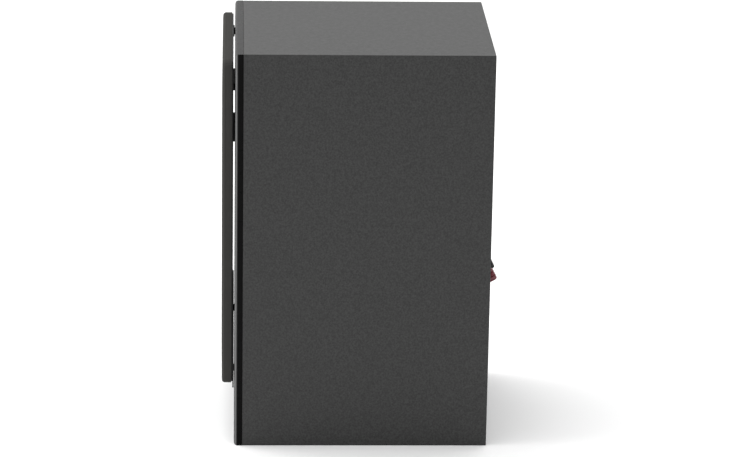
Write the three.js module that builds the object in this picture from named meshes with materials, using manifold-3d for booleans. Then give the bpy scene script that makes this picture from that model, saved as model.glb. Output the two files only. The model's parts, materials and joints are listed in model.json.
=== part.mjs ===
// Three-way bookshelf loudspeaker: vinyl-wrapped MDF cabinet, moulded front baffle, pull-off cloth
// grille, 130 mm woofer, 25 mm dome tweeter, 19 mm dome super tweeter, rear port and terminal cup.
// Millimetres. +Z is up, the grille faces -Y, and the origin is under the centre of the overall box.
import * as THREE from "three";
import { mergeVertices } from "three/addons/utils/BufferGeometryUtils.js";
import Module from "manifold-3d";

const wasm = await Module();
wasm.setup();

// ---------------------------------------------------------------- driving dimensions
const WIDTH = 178;
const HEIGHT = 335;
const PANEL = 12; // MDF thickness
const BAFFLE_FRONT = -105.25; // front plane of the moulded baffle
const BAFFLE = 6.75; // thickness of the moulded baffle
const BAFFLE_EDGE = 2.75; // radius of its rounded front edge
const REAR = 104.25; // rear plane of the cabinet
const GAP = 0.3; // clearance between pieces that only rest on each other

const WOOFER_Z = 140;
const TWEETER_Z = 249;
const SUPER_Z = 290;
const WOOFER_FLANGE_R = 70;
const RECESS = 5; // depth of the driver recesses in the moulded baffle
const DRIVER_SCREW_R = 65.3; // radius of the woofer's screw circle
const WOOFER_BORE = 61; // radii of the holes behind the drivers
const TWEETER_BORE = 25.5;
const SUPER_BORE = 18;

const GRILLE_HALF_WIDTH = 81;
const GRILLE_BOTTOM = 51;
const GRILLE_TOP = 328;
const GRILLE_FRONT = BAFFLE_FRONT - 10.5;
const GRILLE_BACK = BAFFLE_FRONT - 1.2;
const CLOTH = 0.7;
const PEG_X = 75;
const PEG_HEIGHTS = [64, 312];
const PEG_R = 3;
const BOSS_R = 5; // the bosses that carry the pegs, and the sockets that take them
const SOCKET = 6.5; // depth of the baffle's blind sockets for the pegs

const PORT_Z = 252;
const PORT_R = 20;
const PORT_LENGTH = 105;

const POST_Z = 113; // height where the binding posts meet the slanted plate
const POST_X = 15;
const POST_DEPTH = 16.35; // how far the foot of a post lies inside the rear plane
const POST_LENGTH = 29.1;
const POST_TILT = THREE.MathUtils.degToRad(28);
const CUP_WALL = 2.5;
const CUP_FOOT = POST_Z - POST_DEPTH / Math.tan(POST_TILT); // where the slanted plate meets the rear plane
const CUP_LOW = CUP_FOOT - CUP_WALL;
const CUP_HIGH = CUP_LOW + 61.5;
const CUP_HALF_WIDTH = 40.5;
const CUP_FLANGE = 5.5; // how far the cup's flange reaches past its walls

const BOARD_Z = 17; // underside of the crossover board

// Facets round a circle, by size.
const FINE = 28;
const MEDIUM = 20;
const SMALL = 12;

// ---------------------------------------------------------------- shape helpers
const behind = (depth) => BAFFLE_FRONT + depth; // a depth behind the baffle's front plane
const inner = WIDTH / 2 - PANEL;

// A geometry as a manifold-3d solid, and a solid as a geometry.
function solid(geometry) {
  const plain = new THREE.BufferGeometry();
  plain.setAttribute("position", geometry.getAttribute("position").clone());
  if (geometry.index) plain.setIndex(geometry.index.clone());
  const merged = mergeVertices(plain, 1e-4);
  return new wasm.Manifold(
    new wasm.Mesh({
      numProp: 3,
      vertProperties: merged.attributes.position.array,
      triVerts: new Uint32Array(merged.index.array),
    }),
  );
}

function geometryOf(shape) {
  const mesh = shape.getMesh();
  const geometry = new THREE.BufferGeometry();
  geometry.setAttribute("position", new THREE.BufferAttribute(mesh.vertProperties, 3));
  geometry.setIndex(new THREE.BufferAttribute(mesh.triVerts, 1));
  return geometry;
}

const cut = (base, tools) => tools.reduce((shape, tool) => shape.subtract(solid(tool)), solid(base));
const join = (pieces) => pieces.slice(1).reduce((shape, piece) => shape.add(solid(piece)), solid(pieces[0]));

// A solid of revolution about Y. The outline is a closed loop of [radius, y] points, in either sense;
// one that touches the axis starts and ends on it.
function turned(outline, segments = MEDIUM) {
  let area = 0;
  outline.forEach(([r, y], i) => {
    const [r2, y2] = outline[(i + 1) % outline.length];
    area += r * y2 - r2 * y;
  });
  const points = (area > 0 ? outline : [...outline].reverse()).map(([r, y]) => new THREE.Vector2(r, y));
  const onAxis = points[0].x === 0 && points[points.length - 1].x === 0;
  if (!onAxis) points.push(points[0].clone());
  return new THREE.LatheGeometry(points, segments);
}

const rod = (r, y0, y1, x, z, segments = MEDIUM) =>
  new THREE.CylinderGeometry(r, r, y1 - y0, segments).translate(x, (y0 + y1) / 2, z);

const block = (x0, x1, y0, y1, z0, z1) =>
  new THREE.BoxGeometry(x1 - x0, y1 - y0, z1 - z0).translate((x0 + x1) / 2, (y0 + y1) / 2, (z0 + z1) / 2);

// An outline drawn in X and Z, made solid from y0 back to y1.
const slab = (outline, y0, y1, curveSegments = 6) =>
  new THREE.ExtrudeGeometry(outline, { depth: y1 - y0, bevelEnabled: false, curveSegments })
    .rotateX(Math.PI / 2)
    .translate(0, y1, 0);

// The same, with its front edge rounded to a radius.
function roundedSlab(outline, y0, y1, radius, curveSegments = 4) {
  const depth = y1 - y0;
  const long = new THREE.ExtrudeGeometry(outline, {
    depth,
    bevelThickness: radius,
    bevelSize: radius,
    bevelOffset: -radius,
    bevelSegments: 2,
    curveSegments,
  })
    .rotateX(Math.PI / 2)
    .translate(0, y0 + depth + radius, 0);
  return geometryOf(cut(long, [block(-WIDTH, WIDTH, y1, y1 + WIDTH, -HEIGHT, 2 * HEIGHT)]));
}

const polygon = (points) => new THREE.Shape(points.map(([x, y]) => new THREE.Vector2(x, y)));

function roundedRectangle(x0, x1, z0, z1, r) {
  const shape = new THREE.Shape();
  shape.absarc(x1 - r, z0 + r, r, -Math.PI / 2, 0);
  shape.absarc(x1 - r, z1 - r, r, 0, Math.PI / 2);
  shape.absarc(x0 + r, z1 - r, r, Math.PI / 2, Math.PI);
  shape.absarc(x0 + r, z0 + r, r, Math.PI, 1.5 * Math.PI);
  shape.closePath();
  return shape;
}

// The outline that wraps round two circles on the vertical centre line: the tweeter's and the super tweeter's.
function pear(lowerR, upperR) {
  const lean = Math.asin((lowerR - upperR) / (SUPER_Z - TWEETER_Z));
  const shape = new THREE.Shape();
  shape.absarc(0, TWEETER_Z, lowerR, Math.PI - lean, 2 * Math.PI + lean);
  shape.absarc(0, SUPER_Z, upperR, lean, Math.PI - lean);
  shape.closePath();
  return shape;
}

const drillings = (points, r, y0, y1) => points.map(([x, z]) => rod(r, y0, y1, x, z, SMALL));

// ---------------------------------------------------------------- scene graph
const speaker = new THREE.Group();
const finish = (color, roughness, metalness = 0) => new THREE.MeshStandardMaterial({ color, roughness, metalness });
const vinyl = finish(0x424243, 0.62);
const mdf = finish(0x9c7b55, 0.9);
const moulding = finish(0x17181a, 0.32);
const blackPlastic = finish(0x1d1e20, 0.5);
const clothBlack = finish(0x3a3938, 0.95);
const steelBlack = finish(0x242526, 0.5, 0.6);
const zincSteel = finish(0xb9bcc0, 0.35, 0.9);
const ferrite = finish(0x33332f, 0.8, 0.1);
const rubber = finish(0x161616, 0.75);
const paper = finish(0x232426, 0.7);
const silk = finish(0x2b2c30, 0.55);
const spiderCloth = finish(0xc8923e, 0.9);
const copper = finish(0xb66a3a, 0.4, 0.8);
const redPlastic = finish(0xb01722, 0.4);
const goldPlate = finish(0xc9a24a, 0.3, 0.9);
const boardGreen = finish(0x2c5a3a, 0.6);
const capFilm = finish(0xb8862c, 0.5);
const cement = finish(0xe3e0d6, 0.9);
const wadding = finish(0xe9e9e6, 1);
const wire = finish(0x8f1d22, 0.6);

function add(name, geometry, material, parent = speaker) {
  const mesh = new THREE.Mesh(geometry, material);
  mesh.name = name;
  parent.add(mesh);
  return mesh;
}

// A piece turned about the front-to-back axis of a driver, its outline measured from the baffle's front plane.
const driverPiece = (name, z, outline, material, segments) =>
  add(name, turned(outline, segments), material).position.set(0, BAFFLE_FRONT, z);

const corners = (dx, dz, x = 0, z = 0) => [-1, 1].flatMap((i) => [-1, 1].map((k) => [x + i * dx, z + k * dz]));
const wooferScrews = corners(DRIVER_SCREW_R * Math.SQRT1_2, DRIVER_SCREW_R * Math.SQRT1_2, 0, WOOFER_Z);
const pegs = corners(PEG_X, (PEG_HEIGHTS[1] - PEG_HEIGHTS[0]) / 2, 0, (PEG_HEIGHTS[0] + PEG_HEIGHTS[1]) / 2);

// ---------------------------------------------------------------- cabinet
function cabinet() {
  const [w, h, t] = [WIDTH / 2, HEIGHT, PANEL];
  const front = BAFFLE_FRONT + BAFFLE;
  const boards = {
    cabinet_left_panel: [[-w, 0], [t - w, t], [t - w, h - t], [-w, h]],
    cabinet_right_panel: [[w, 0], [w, h], [w - t, h - t], [w - t, t]],
    cabinet_bottom_panel: [[-w, 0], [w, 0], [w - t, t], [t - w, t]],
    cabinet_top_panel: [[-w, h], [t - w, h - t], [w - t, h - t], [w, h]],
  };
  for (const [name, outline] of Object.entries(boards)) add(name, slab(polygon(outline), front, REAR), vinyl);

  const filling = polygon([[-inner, t], [inner, t], [inner, h - t], [-inner, h - t]]);
  const back = cut(slab(filling, REAR - t, REAR), [
    rod(PORT_R + 10.5, REAR - 2 * t, REAR + t, 0, PORT_Z, FINE),
    block(-CUP_HALF_WIDTH - 0.5, CUP_HALF_WIDTH + 0.5, REAR - 2 * t, REAR + t, CUP_LOW - 0.5, CUP_HIGH + 0.5),
  ]);
  add("cabinet_back_panel", geometryOf(back), vinyl);

  const subBaffle = cut(slab(filling, front, front + t), [
    rod(WOOFER_BORE, front - t, front + 2 * t, 0, WOOFER_Z, FINE),
    rod(TWEETER_BORE, front - t, front + 2 * t, 0, TWEETER_Z),
    rod(SUPER_BORE, front - t, front + 2 * t, 0, SUPER_Z),
    ...drillings(wooferScrews, 2, front - t, front + 2 * t),
  ]);
  add("sub_baffle", geometryOf(subBaffle), mdf);

  // A frame with two windows, clear of the woofer's magnet, and a pad on the left wall behind it.
  const braceFront = behind(78);
  const brace = cut(slab(filling, braceFront, braceFront + t), [
    block(-55, 55, braceFront - t, braceFront + 2 * t, 35, 160),
    block(-55, 55, braceFront - t, braceFront + 2 * t, 178, 300),
  ]);
  add("window_brace", geometryOf(brace), mdf);
  add("damping_pad", block(-inner + GAP, -inner + 18, braceFront + t + 3, REAR - t - 3, 60, 290), wadding);
}

function frontBaffle() {
  const face = polygon([[-WIDTH / 2, 0], [WIDTH / 2, 0], [WIDTH / 2, HEIGHT], [-WIDTH / 2, HEIGHT]]);
  const shell = cut(roundedSlab(face, BAFFLE_FRONT, BAFFLE_FRONT + BAFFLE, BAFFLE_EDGE), [
    rod(WOOFER_FLANGE_R + 0.7, behind(-5), behind(RECESS), 0, WOOFER_Z, FINE),
    rod(WOOFER_BORE, behind(-5), behind(20), 0, WOOFER_Z, FINE),
    slab(pear(33.5, 25.5), behind(-5), behind(RECESS)),
    rod(TWEETER_BORE, behind(-5), behind(20), 0, TWEETER_Z),
    rod(SUPER_BORE, behind(-5), behind(20), 0, SUPER_Z),
    ...drillings(pegs, BOSS_R, behind(-5), behind(SOCKET)),
    ...drillings(wooferScrews, 2, behind(-5), behind(20)),
  ]);
  add("front_baffle", geometryOf(shell), moulding);
}

// ---------------------------------------------------------------- woofer
// Outlines are [radius, depth behind the baffle's front plane].
function woofer() {
  const z = WOOFER_Z;
  const wall = [
    [54, 3.6], [61, 3.6], [61, 1], [WOOFER_FLANGE_R, 1], [WOOFER_FLANGE_R, 4.7], [59.2, 4.7], [57.2, 9],
    [51.2, 27], [45.4, 29.5], [45.4, 47], [24, 47], [24, 44.6], [43, 44.6], [43, 27.2], [48.8, 27.2], [54, 8.5],
  ];
  const windows = Array.from({ length: 5 }, (_, i) =>
    new THREE.BoxGeometry(36, 13, 30).translate(0, 18, 54).rotateY((i * 2 * Math.PI) / 5),
  );
  const bores = wooferScrews.map(([x, h]) => rod(2.2, -2, 9, x, h - z, 12));
  const basket = add("woofer_basket", geometryOf(cut(turned(wall, FINE), [...windows, ...bores])), steelBlack);
  basket.position.set(0, BAFFLE_FRONT, z);

  driverPiece("woofer_gasket", z, [[55.2, 1.2], [60.7, 1.2], [60.7, 2.6], [55.2, 2.6]], rubber, FINE);

  // Half-roll surround: a flat lip each side of a low arch.
  const arch = (rise, base) =>
    Array.from({ length: 6 }, (_, i) => {
      const t = (i * Math.PI) / 5;
      return [50.5 + 4 * Math.cos(t), base - rise * Math.sin(t)];
    });
  const surround = [[60.7, 2.9], ...arch(2.5, 2.9), [44, 2.9], [44, 3.3], ...arch(2, 3.3).reverse(), [60.7, 3.3]];
  driverPiece("woofer_surround", z, surround, rubber, FINE);

  // Cone: a shallow curve from its rim down to the neck.
  const [rim, neck, drop] = [44, 13.2, 18.4];
  const slope = (offset) =>
    Array.from({ length: 4 }, (_, i) => {
      const s = i / 3;
      return [rim - (rim - neck) * s, 3.6 + offset + drop * s ** 0.85];
    });
  driverPiece("woofer_cone", z, [[46.8, 3.6], ...slope(0), ...slope(0.9).reverse(), [46.8, 4.5]], paper, FINE);

  const dome = (r, height, base, steps) =>
    Array.from({ length: steps + 1 }, (_, i) => {
      const t = (i * Math.PI) / 2 / steps;
      return [i === 0 ? 0 : r * Math.sin(t), base - height * Math.cos(t)];
    });
  const cap = [...dome(17, 6, 19, 4), ...dome(16.3, 5.4, 19, 4).reverse()];
  driverPiece("woofer_dust_cap", z, cap, paper);

  // Spider: a corrugated disc between the voice coil former and the basket's ledge.
  const corrugation = (offset) =>
    Array.from({ length: 7 }, (_, i) => [13.1 + (31 * i) / 6, 26 + offset + (i % 2 ? 0.9 : -0.9)]);
  const spider = [...corrugation(0), [48.5, 26.3], [48.5, 26.9], ...corrugation(0.6).reverse()];
  driverPiece("woofer_spider", z, spider, spiderCloth);

  const coil = [[12.4, 20.5], [12.8, 20.5], [12.8, 46], [13.4, 46], [13.4, 57], [12.4, 57]];
  driverPiece("woofer_voice_coil", z, coil, copper);
  driverPiece("woofer_top_plate", z, [[13.9, 47.3], [43, 47.3], [43, 52.3], [13.9, 52.3]], zincSteel);
  driverPiece("woofer_magnet", z, [[20, 52.6], [45, 52.6], [45, 67.6], [20, 67.6]], ferrite);
  const yoke = [[0, 47.3], [11.8, 47.3], [11.8, 67.9], [43, 67.9], [43, 72.9], [0, 72.9]];
  driverPiece("woofer_pole_plate", z, yoke, zincSteel);

  const screw = [[0, 0.1], [2.6, 0.1], [3.6, 0.5], [3.6, 1], [1.6, 1], [1.6, 18], [0, 19.5]];
  wooferScrews.forEach(([x, h], i) => {
    add(`woofer_screw_${i + 1}`, turned(screw, 12), steelBlack).position.set(x, BAFFLE_FRONT, h);
  });
}

// ---------------------------------------------------------------- tweeter and super tweeter
const TREBLE = [
  { name: "tweeter", z: TWEETER_Z, dome: 12.5, rise: 4.5, mouth: 20, motor: 23, plate: 3, magnet: 8 },
  { name: "super_tweeter", z: SUPER_Z, dome: 9.5, rise: 3.4, mouth: 15.5, motor: 15.7, plate: 2.5, magnet: 6 },
];

function treblePlate() {
  const horns = TREBLE.map(({ z, dome, mouth }) => {
    const horn = [[0, -2], [mouth + 1, -2], [mouth, 1], [dome + 3.4, 3.6], [dome + 3.4, 9], [0, 9]];
    return turned(horn).translate(0, BAFFLE_FRONT, z);
  });
  add("treble_plate", geometryOf(cut(slab(pear(33, 25), behind(1), behind(4.7)), horns)), blackPlastic);
}

function domeDriver({ name, z, dome, rise, mouth, motor, plate, magnet }) {
  const base = 4;
  const shellCurve = (r, height) =>
    Array.from({ length: 4 }, (_, i) => {
      const t = (i * Math.PI) / 2 / 3;
      return [i === 0 ? 0 : r * Math.sin(t), base - height * Math.cos(t)];
    });
  const shell = [...shellCurve(dome, rise), ...shellCurve(dome - 0.5, rise - 0.5).reverse()];
  driverPiece(`${name}_dome`, z, shell, silk);

  const roll = (rise2, y) =>
    Array.from({ length: 3 }, (_, i) => {
      const t = (i * Math.PI) / 2;
      return [dome + 1.5 + 1.2 * Math.cos(t), y - rise2 * Math.sin(t)];
    });
  const surround = [[dome + 3.1, 4.3], ...roll(1, 4.3), [dome + 0.3, 4.6], ...roll(0.6, 4.6).reverse(), [dome + 3.1, 4.6]];
  driverPiece(`${name}_surround`, z, surround, silk);

  const former = [[dome - 0.5, 4.3], [dome - 0.1, 4.3], [dome - 0.1, 7], [dome + 0.2, 7], [dome + 0.2, 10], [dome - 0.5, 10]];
  driverPiece(`${name}_voice_coil`, z, former, copper);

  const front = 5.6;
  const back = front + plate + GAP;
  const foot = back + magnet + GAP;
  const ring = (r0, r1, y0, y1) => [[r0, y0], [r1, y0], [r1, y1], [r0, y1]];
  driverPiece(`${name}_top_plate`, z, ring(dome + 0.8, motor, front, front + plate), zincSteel);
  driverPiece(`${name}_magnet`, z, ring(dome + 1.5, motor, back, back + magnet), ferrite);
  const pole = dome - 1.1;
  const yoke = [[0, 5.2], [pole, 5.2], [pole, foot], [motor, foot], [motor, foot + 3], [0, foot + 3]];
  driverPiece(`${name}_pole_plate`, z, yoke, zincSteel);

  // Guard: a rim flush with the baffle, and three crossing bars that run flat to a collar and arch over the dome.
  const seat = 0.7;
  const guardCurve = (r, height, y) =>
    Array.from({ length: 4 }, (_, i) => {
      const t = (i * Math.PI) / 2 / 3;
      return [i === 0 ? 0 : r * Math.sin(t), y - height * Math.cos(t)];
    });
  const hoop = dome - 0.3;
  const bowl = turned([...guardCurve(hoop, 3.8, seat), ...guardCurve(hoop - 0.9, 2.9, seat).reverse()]);
  const flat = turned(ring(hoop - 0.5, mouth, 0, seat));
  const collar = turned(ring(hoop - 0.8, hoop, -1.3, seat));
  const bars = [0, 1, 2].map((i) => new THREE.BoxGeometry(2 * mouth + 2, 12, 1.6).rotateY((i * Math.PI) / 3));
  const rim = turned(ring(mouth - 1.4, mouth + 1.2, 0, seat));
  const guard = join([rim, collar, geometryOf(join(bars).intersect(join([bowl, flat])))]);
  add(`${name}_guard`, geometryOf(guard), steelBlack).position.set(0, BAFFLE_FRONT, z);
}

// ---------------------------------------------------------------- grille
function grille() {
  const [w, low, high] = [GRILLE_HALF_WIDTH, GRILLE_BOTTOM, GRILLE_TOP];
  const outer = roundedSlab(roundedRectangle(-w, w, low, high, 6), GRILLE_FRONT, GRILLE_BACK - 0.5, 2.5);
  const t = CLOTH;
  const hollow = roundedSlab(
    roundedRectangle(t - w, w - t, low + t, high - t, 6 - t),
    GRILLE_FRONT + t, GRILLE_BACK + 5, 2.5 - t,
  );
  add("grille_cloth", geometryOf(cut(outer, [hollow])), clothBlack);

  const s = t + GAP;
  const bar = roundedSlab(
    roundedRectangle(s - w, w - s, low + s, high - s, 6 - s),
    GRILLE_FRONT + s, GRILLE_BACK, 2.5 - s,
  );
  const wooferWindow = new THREE.Shape();
  wooferWindow.absarc(0, WOOFER_Z, 71, 0, 2 * Math.PI);
  const wooferOpening = slab(wooferWindow, GRILLE_FRONT - 5, BAFFLE_FRONT + 5, 12);
  const frame = cut(bar, [
    wooferOpening,
    slab(roundedRectangle(-64, 64, 218, 315, 14), GRILLE_FRONT - 5, BAFFLE_FRONT + 5, 4),
  ]);
  // The foot closes the lower corners of the gap behind the frame and shows as a lip under the cloth.
  const root = GRILLE_BACK - 0.2;
  const touch = BAFFLE_FRONT - GAP;
  const foot = solid(block(s - w, w - s, root, touch, low - 3.5, 97)).subtract(solid(wooferOpening));
  const studs = pegs.flatMap(([x, z]) => [
    rod(BOSS_R, root, touch, x, z, SMALL),
    rod(PEG_R, touch - 1, behind(5), x, z, SMALL),
    new THREE.CylinderGeometry(PEG_R, PEG_R - 1, 1.2, SMALL).rotateX(Math.PI).translate(x, behind(5.6), z),
  ]);
  const whole = studs.reduce((shape, stud) => shape.add(solid(stud)), frame.add(foot));
  add("grille_frame", geometryOf(whole), blackPlastic);
}

// ---------------------------------------------------------------- rear port
function port() {
  const flare = Array.from({ length: 5 }, (_, i) => {
    const t = (i * Math.PI) / 2 / 4;
    return [PORT_R + 12 * (1 - Math.cos(t)), -12 + 13.8 * Math.sin(t)];
  });
  const outline = [
    ...flare, [35, 1.2], [35, 0], [30, 0], [30, -2], [22.5, -14], [22.5, -PORT_LENGTH], [PORT_R, -PORT_LENGTH],
  ];
  add("port_tube", turned(outline), blackPlastic).position.set(0, REAR, PORT_Z);
}

// ---------------------------------------------------------------- terminal cup and binding posts
// The wedge-shaped cup is drawn as [distance outwards from the rear plane, height], and made wide along X.
function wedge(outline, halfWidth) {
  return new THREE.ExtrudeGeometry(polygon(outline), { depth: 2 * halfWidth, bevelEnabled: false })
    .rotateX(Math.PI / 2)
    .rotateZ(Math.PI / 2)
    .translate(-halfWidth, REAR, 0);
}

function terminalCup() {
  const lean = Math.tan(POST_TILT);
  const [foot, low, high, wall] = [CUP_FOOT, CUP_LOW, CUP_HIGH, CUP_WALL];
  const floor = (z, thickness) => -(z - foot) * lean - thickness / Math.cos(POST_TILT);
  const housing = [[0, low], [floor(low, wall), low], [floor(high, wall), high], [0, high]];
  const hollow = [[5, foot], [0, foot], [floor(high - wall, 0), high - wall], [5, high - wall]];
  const reach = CUP_HALF_WIDTH + CUP_FLANGE;
  const flange = roundedSlab(
    roundedRectangle(-reach, reach, low - CUP_FLANGE, high + CUP_FLANGE, 6), -2, 0, 0.8,
  ).rotateZ(Math.PI).translate(0, REAR, 0);
  const holes = [-POST_X, POST_X].map((x) =>
    rod(2.9, -9, 9, 0, 0, SMALL).rotateX(POST_TILT).translate(x, REAR - POST_DEPTH, POST_Z),
  );
  const shape = join([flange, wedge(housing, CUP_HALF_WIDTH)])
    .subtract(solid(wedge(hollow, CUP_HALF_WIDTH - wall)))
    .subtract(solid(holes[0]))
    .subtract(solid(holes[1]));
  add("terminal_cup", geometryOf(shape), blackPlastic);
}

function bindingPost(colour, x, plastic) {
  const post = new THREE.Group();
  post.position.set(x, REAR - POST_DEPTH, POST_Z);
  post.rotation.x = POST_TILT;
  speaker.add(post);
  const end = POST_LENGTH;
  const stud = [[0, -10], [2.5, -10], [2.5, GAP], [6.5, GAP], [6.5, 2.3], [2.5, 2.3], [2.5, end - 4], [0, end - 4]];
  add(`${colour}_post_stud`, turned(stud, SMALL), goldPlate, post);
  const clamp = [[2.9, 2.6], [6.2, 2.6], [6.2, 4], [2.9, 4]];
  add(`${colour}_post_clamp`, turned(clamp, SMALL), goldPlate, post);
  const grip = [
    [0, end - 2.6], [2.9, end - 2.6], [2.9, 4.3], [6.2, 4.3], [6.2, 7], [5.6, 8], [5.6, end - 2], [4.6, end], [0, end],
  ];
  const flutes = Array.from({ length: 6 }, (_, i) => rod(1.1, 9, end + 5, 6.1, 0, 4).rotateY((i * Math.PI) / 3));
  add(`${colour}_post_knob`, geometryOf(cut(turned(grip), flutes)), plastic, post);
  const nut = turned([[2.9, -6], [4.8, -6], [4.8, -2.8], [2.9, -2.8]], 6);
  add(`${colour}_post_nut`, nut, zincSteel, post);
}

// ---------------------------------------------------------------- crossover and leads
function crossover() {
  const top = BOARD_Z + 1.6;
  const on = top + GAP;
  const feet = corners(44, 29, 0, 40).map(([x, y]) =>
    rod(3, 0, BOARD_Z - PANEL + 0.8, 0, 0, 12).rotateX(Math.PI / 2).translate(x, y, PANEL),
  );
  add("crossover_board", geometryOf(join([block(-50, 50, 5, 75, BOARD_Z, top), ...feet])), boardGreen);
  const upright = (r0, r1, height) => turned([[r0, 0], [r1, 0], [r1, height], [r0, height]]).rotateX(Math.PI / 2);
  add("woofer_inductor", upright(7, 17, 15), copper).position.set(-28, 50, on);
  add("tweeter_inductor", upright(5, 11, 10), copper).position.set(24, 56, on);
  const can = (r, length) => turned([[0, 0], [r - 0.8, 0], [r, 0.8], [r, length - 0.8], [r - 0.8, length], [0, length]], SMALL);
  add("woofer_capacitor", can(8, 32).rotateZ(-Math.PI / 2), capFilm).position.set(-14, 28, on + 8);
  add("tweeter_capacitor", can(6, 24), capFilm).position.set(44, 28, on + 6);
  add("super_tweeter_capacitor", can(5, 20), capFilm).position.set(-42, 9, on + 5);
  add("resistor", block(25, 34, 22, 43, on, on + 8), cement);
}

// Two-core internal leads, each a flat section swept along its own smooth route.
function lead(name, route) {
  const path = new THREE.CatmullRomCurve3(route.map((p) => new THREE.Vector3(...p)));
  const section = new THREE.Shape();
  section.absellipse(0, 0, 1, 1.8, 0, 2 * Math.PI);
  const geometry = new THREE.ExtrudeGeometry(section, {
    extrudePath: path,
    steps: 3 * (route.length - 1),
    curveSegments: 3,
    bevelEnabled: false,
  });
  add(name, geometry, wire);
}

function leads() {
  const top = BOARD_Z + 5;
  lead("input_lead", [[0, 79, 105], [0, 73, 93], [0, 69, 60], [0, 65, 34], [0, 62, top]]);
  lead("woofer_lead", [
    [-30, 15, top], [-34, 4, 40], [-46, behind(85), 78], [-50, behind(56), 96], [-36, behind(35), 106],
  ]);
  lead("treble_lead", [
    [30, 14, top], [34, 4, 60], [46, -6, 130], [46, -10, 190], [38, behind(83), 218], [26, behind(51), 236],
    [17, behind(26), 246],
  ]);
}

cabinet();
frontBaffle();
woofer();
treblePlate();
TREBLE.forEach(domeDriver);
grille();
port();
terminalCup();
bindingPost("red", POST_X, redPlastic);
bindingPost("black", -POST_X, blackPlastic);
crossover();
leads();

export default speaker;
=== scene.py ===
"""Looks of the bookshelf speaker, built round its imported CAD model. Metres; outlines are in millimetres."""

import json
import math

import bmesh
import bpy
from mathutils import Matrix, Vector


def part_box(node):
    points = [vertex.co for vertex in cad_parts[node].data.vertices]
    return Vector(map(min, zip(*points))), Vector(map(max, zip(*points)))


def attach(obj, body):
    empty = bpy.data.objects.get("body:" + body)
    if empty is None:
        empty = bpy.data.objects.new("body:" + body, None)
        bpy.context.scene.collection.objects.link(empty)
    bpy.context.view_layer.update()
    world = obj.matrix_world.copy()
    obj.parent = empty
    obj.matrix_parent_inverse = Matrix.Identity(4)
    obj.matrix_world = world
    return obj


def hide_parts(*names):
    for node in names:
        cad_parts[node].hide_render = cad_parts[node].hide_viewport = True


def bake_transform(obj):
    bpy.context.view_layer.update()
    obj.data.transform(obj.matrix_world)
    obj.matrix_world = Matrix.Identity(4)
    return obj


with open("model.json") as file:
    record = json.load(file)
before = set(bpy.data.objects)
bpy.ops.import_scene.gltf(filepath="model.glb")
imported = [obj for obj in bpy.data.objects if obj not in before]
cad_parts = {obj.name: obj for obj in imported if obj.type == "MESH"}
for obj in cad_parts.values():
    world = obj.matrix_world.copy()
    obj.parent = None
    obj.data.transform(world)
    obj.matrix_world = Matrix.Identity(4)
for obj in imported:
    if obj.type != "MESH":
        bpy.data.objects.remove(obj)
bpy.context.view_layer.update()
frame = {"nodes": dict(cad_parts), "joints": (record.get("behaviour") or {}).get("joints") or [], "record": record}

MM = 0.001
TAU = 2 * math.pi

# ------------------------------------------------------------------ places, all read from the frame
LOW = 0
HIGH = 1


def side(node, which):
    """One corner of a CAD node's box, in millimetres."""
    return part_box(node)[which] / MM


def middle(node):
    return (side(node, LOW) + side(node, HIGH)) / 2


WRAP_LOW = side("cabinet_left_panel", LOW)
WRAP_HIGH = side("cabinet_right_panel", HIGH)
PANEL = side("cabinet_left_panel", HIGH).x - WRAP_LOW.x
BAFFLE_LOW = side("front_baffle", LOW)
BAFFLE_HIGH = side("front_baffle", HIGH)
FRONT = BAFFLE_LOW.y
REAR = WRAP_HIGH.y
WOOFER_Z = middle("woofer_basket").z
TWEETER_Z = middle("tweeter_dome").z
SUPER_Z = middle("super_tweeter_dome").z
PORT_Z = middle("port_tube").z
FLANGE_R = side("woofer_basket", HIGH).x
PLATE_R = (TWEETER_Z - side("treble_plate", LOW).z, side("treble_plate", HIGH).z - SUPER_Z)
PEGS = [(x, z) for x in (-75, 75) for z in (64, 312)]
BAFFLE_EDGE_R = 2.75
RECESS = 5  # depth of the driver recesses in the baffle
WOOFER_BORE_R = 61
TWEETER_BORE_R = 25.5
SUPER_BORE_R = 18
PORT_R = 20
CUP_FLANGE = 5.5  # how far the cup's flange reaches past its walls
CUP_WALL = 2.5
POST_R = 2.5
POST_END = 29.1  # length of a post from its foot to the knob's tip
JOINTS = {joint["name"]: joint for joint in frame["joints"]}


# ------------------------------------------------------------------ camera, floor and light
def studio():
    bpy.context.scene.view_settings.view_transform = "Standard"
    place_camera()
    white_walls()
    area_light("overhead", (-0.15, -0.3, 2.4), (0, 0, 0), 1.8, 26)
    area_light("front", (-0.2, -1.9, 1.2), (0, 0, 0.17), 2.1, 30)
    lay_floor()


def place_camera():
    data = bpy.data.cameras.new("camera")
    data.lens = 161.98
    data.sensor_width = 36
    data.clip_end = 50
    camera = bpy.data.objects.new("camera", data)
    bpy.context.scene.collection.objects.link(camera)
    yaw, pitch, roll = -0.04424, 0.31183, 0.01674
    level = Vector((-math.cos(yaw), -math.sin(yaw), 0))
    right = Vector((-math.sin(yaw), math.cos(yaw), 0))
    ahead = level * math.cos(pitch) - Vector((0, 0, math.sin(pitch)))
    up = level * math.sin(pitch) + Vector((0, 0, math.cos(pitch)))
    x_axis = right * math.cos(roll) + up * math.sin(roll)
    y_axis = up * math.cos(roll) - right * math.sin(roll)
    turn = Matrix((x_axis, y_axis, -ahead)).transposed()
    camera.matrix_world = Matrix.Translation((2.6983, -0.1066, 1.0313)) @ turn.to_4x4()
    bpy.context.scene.camera = camera


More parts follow.
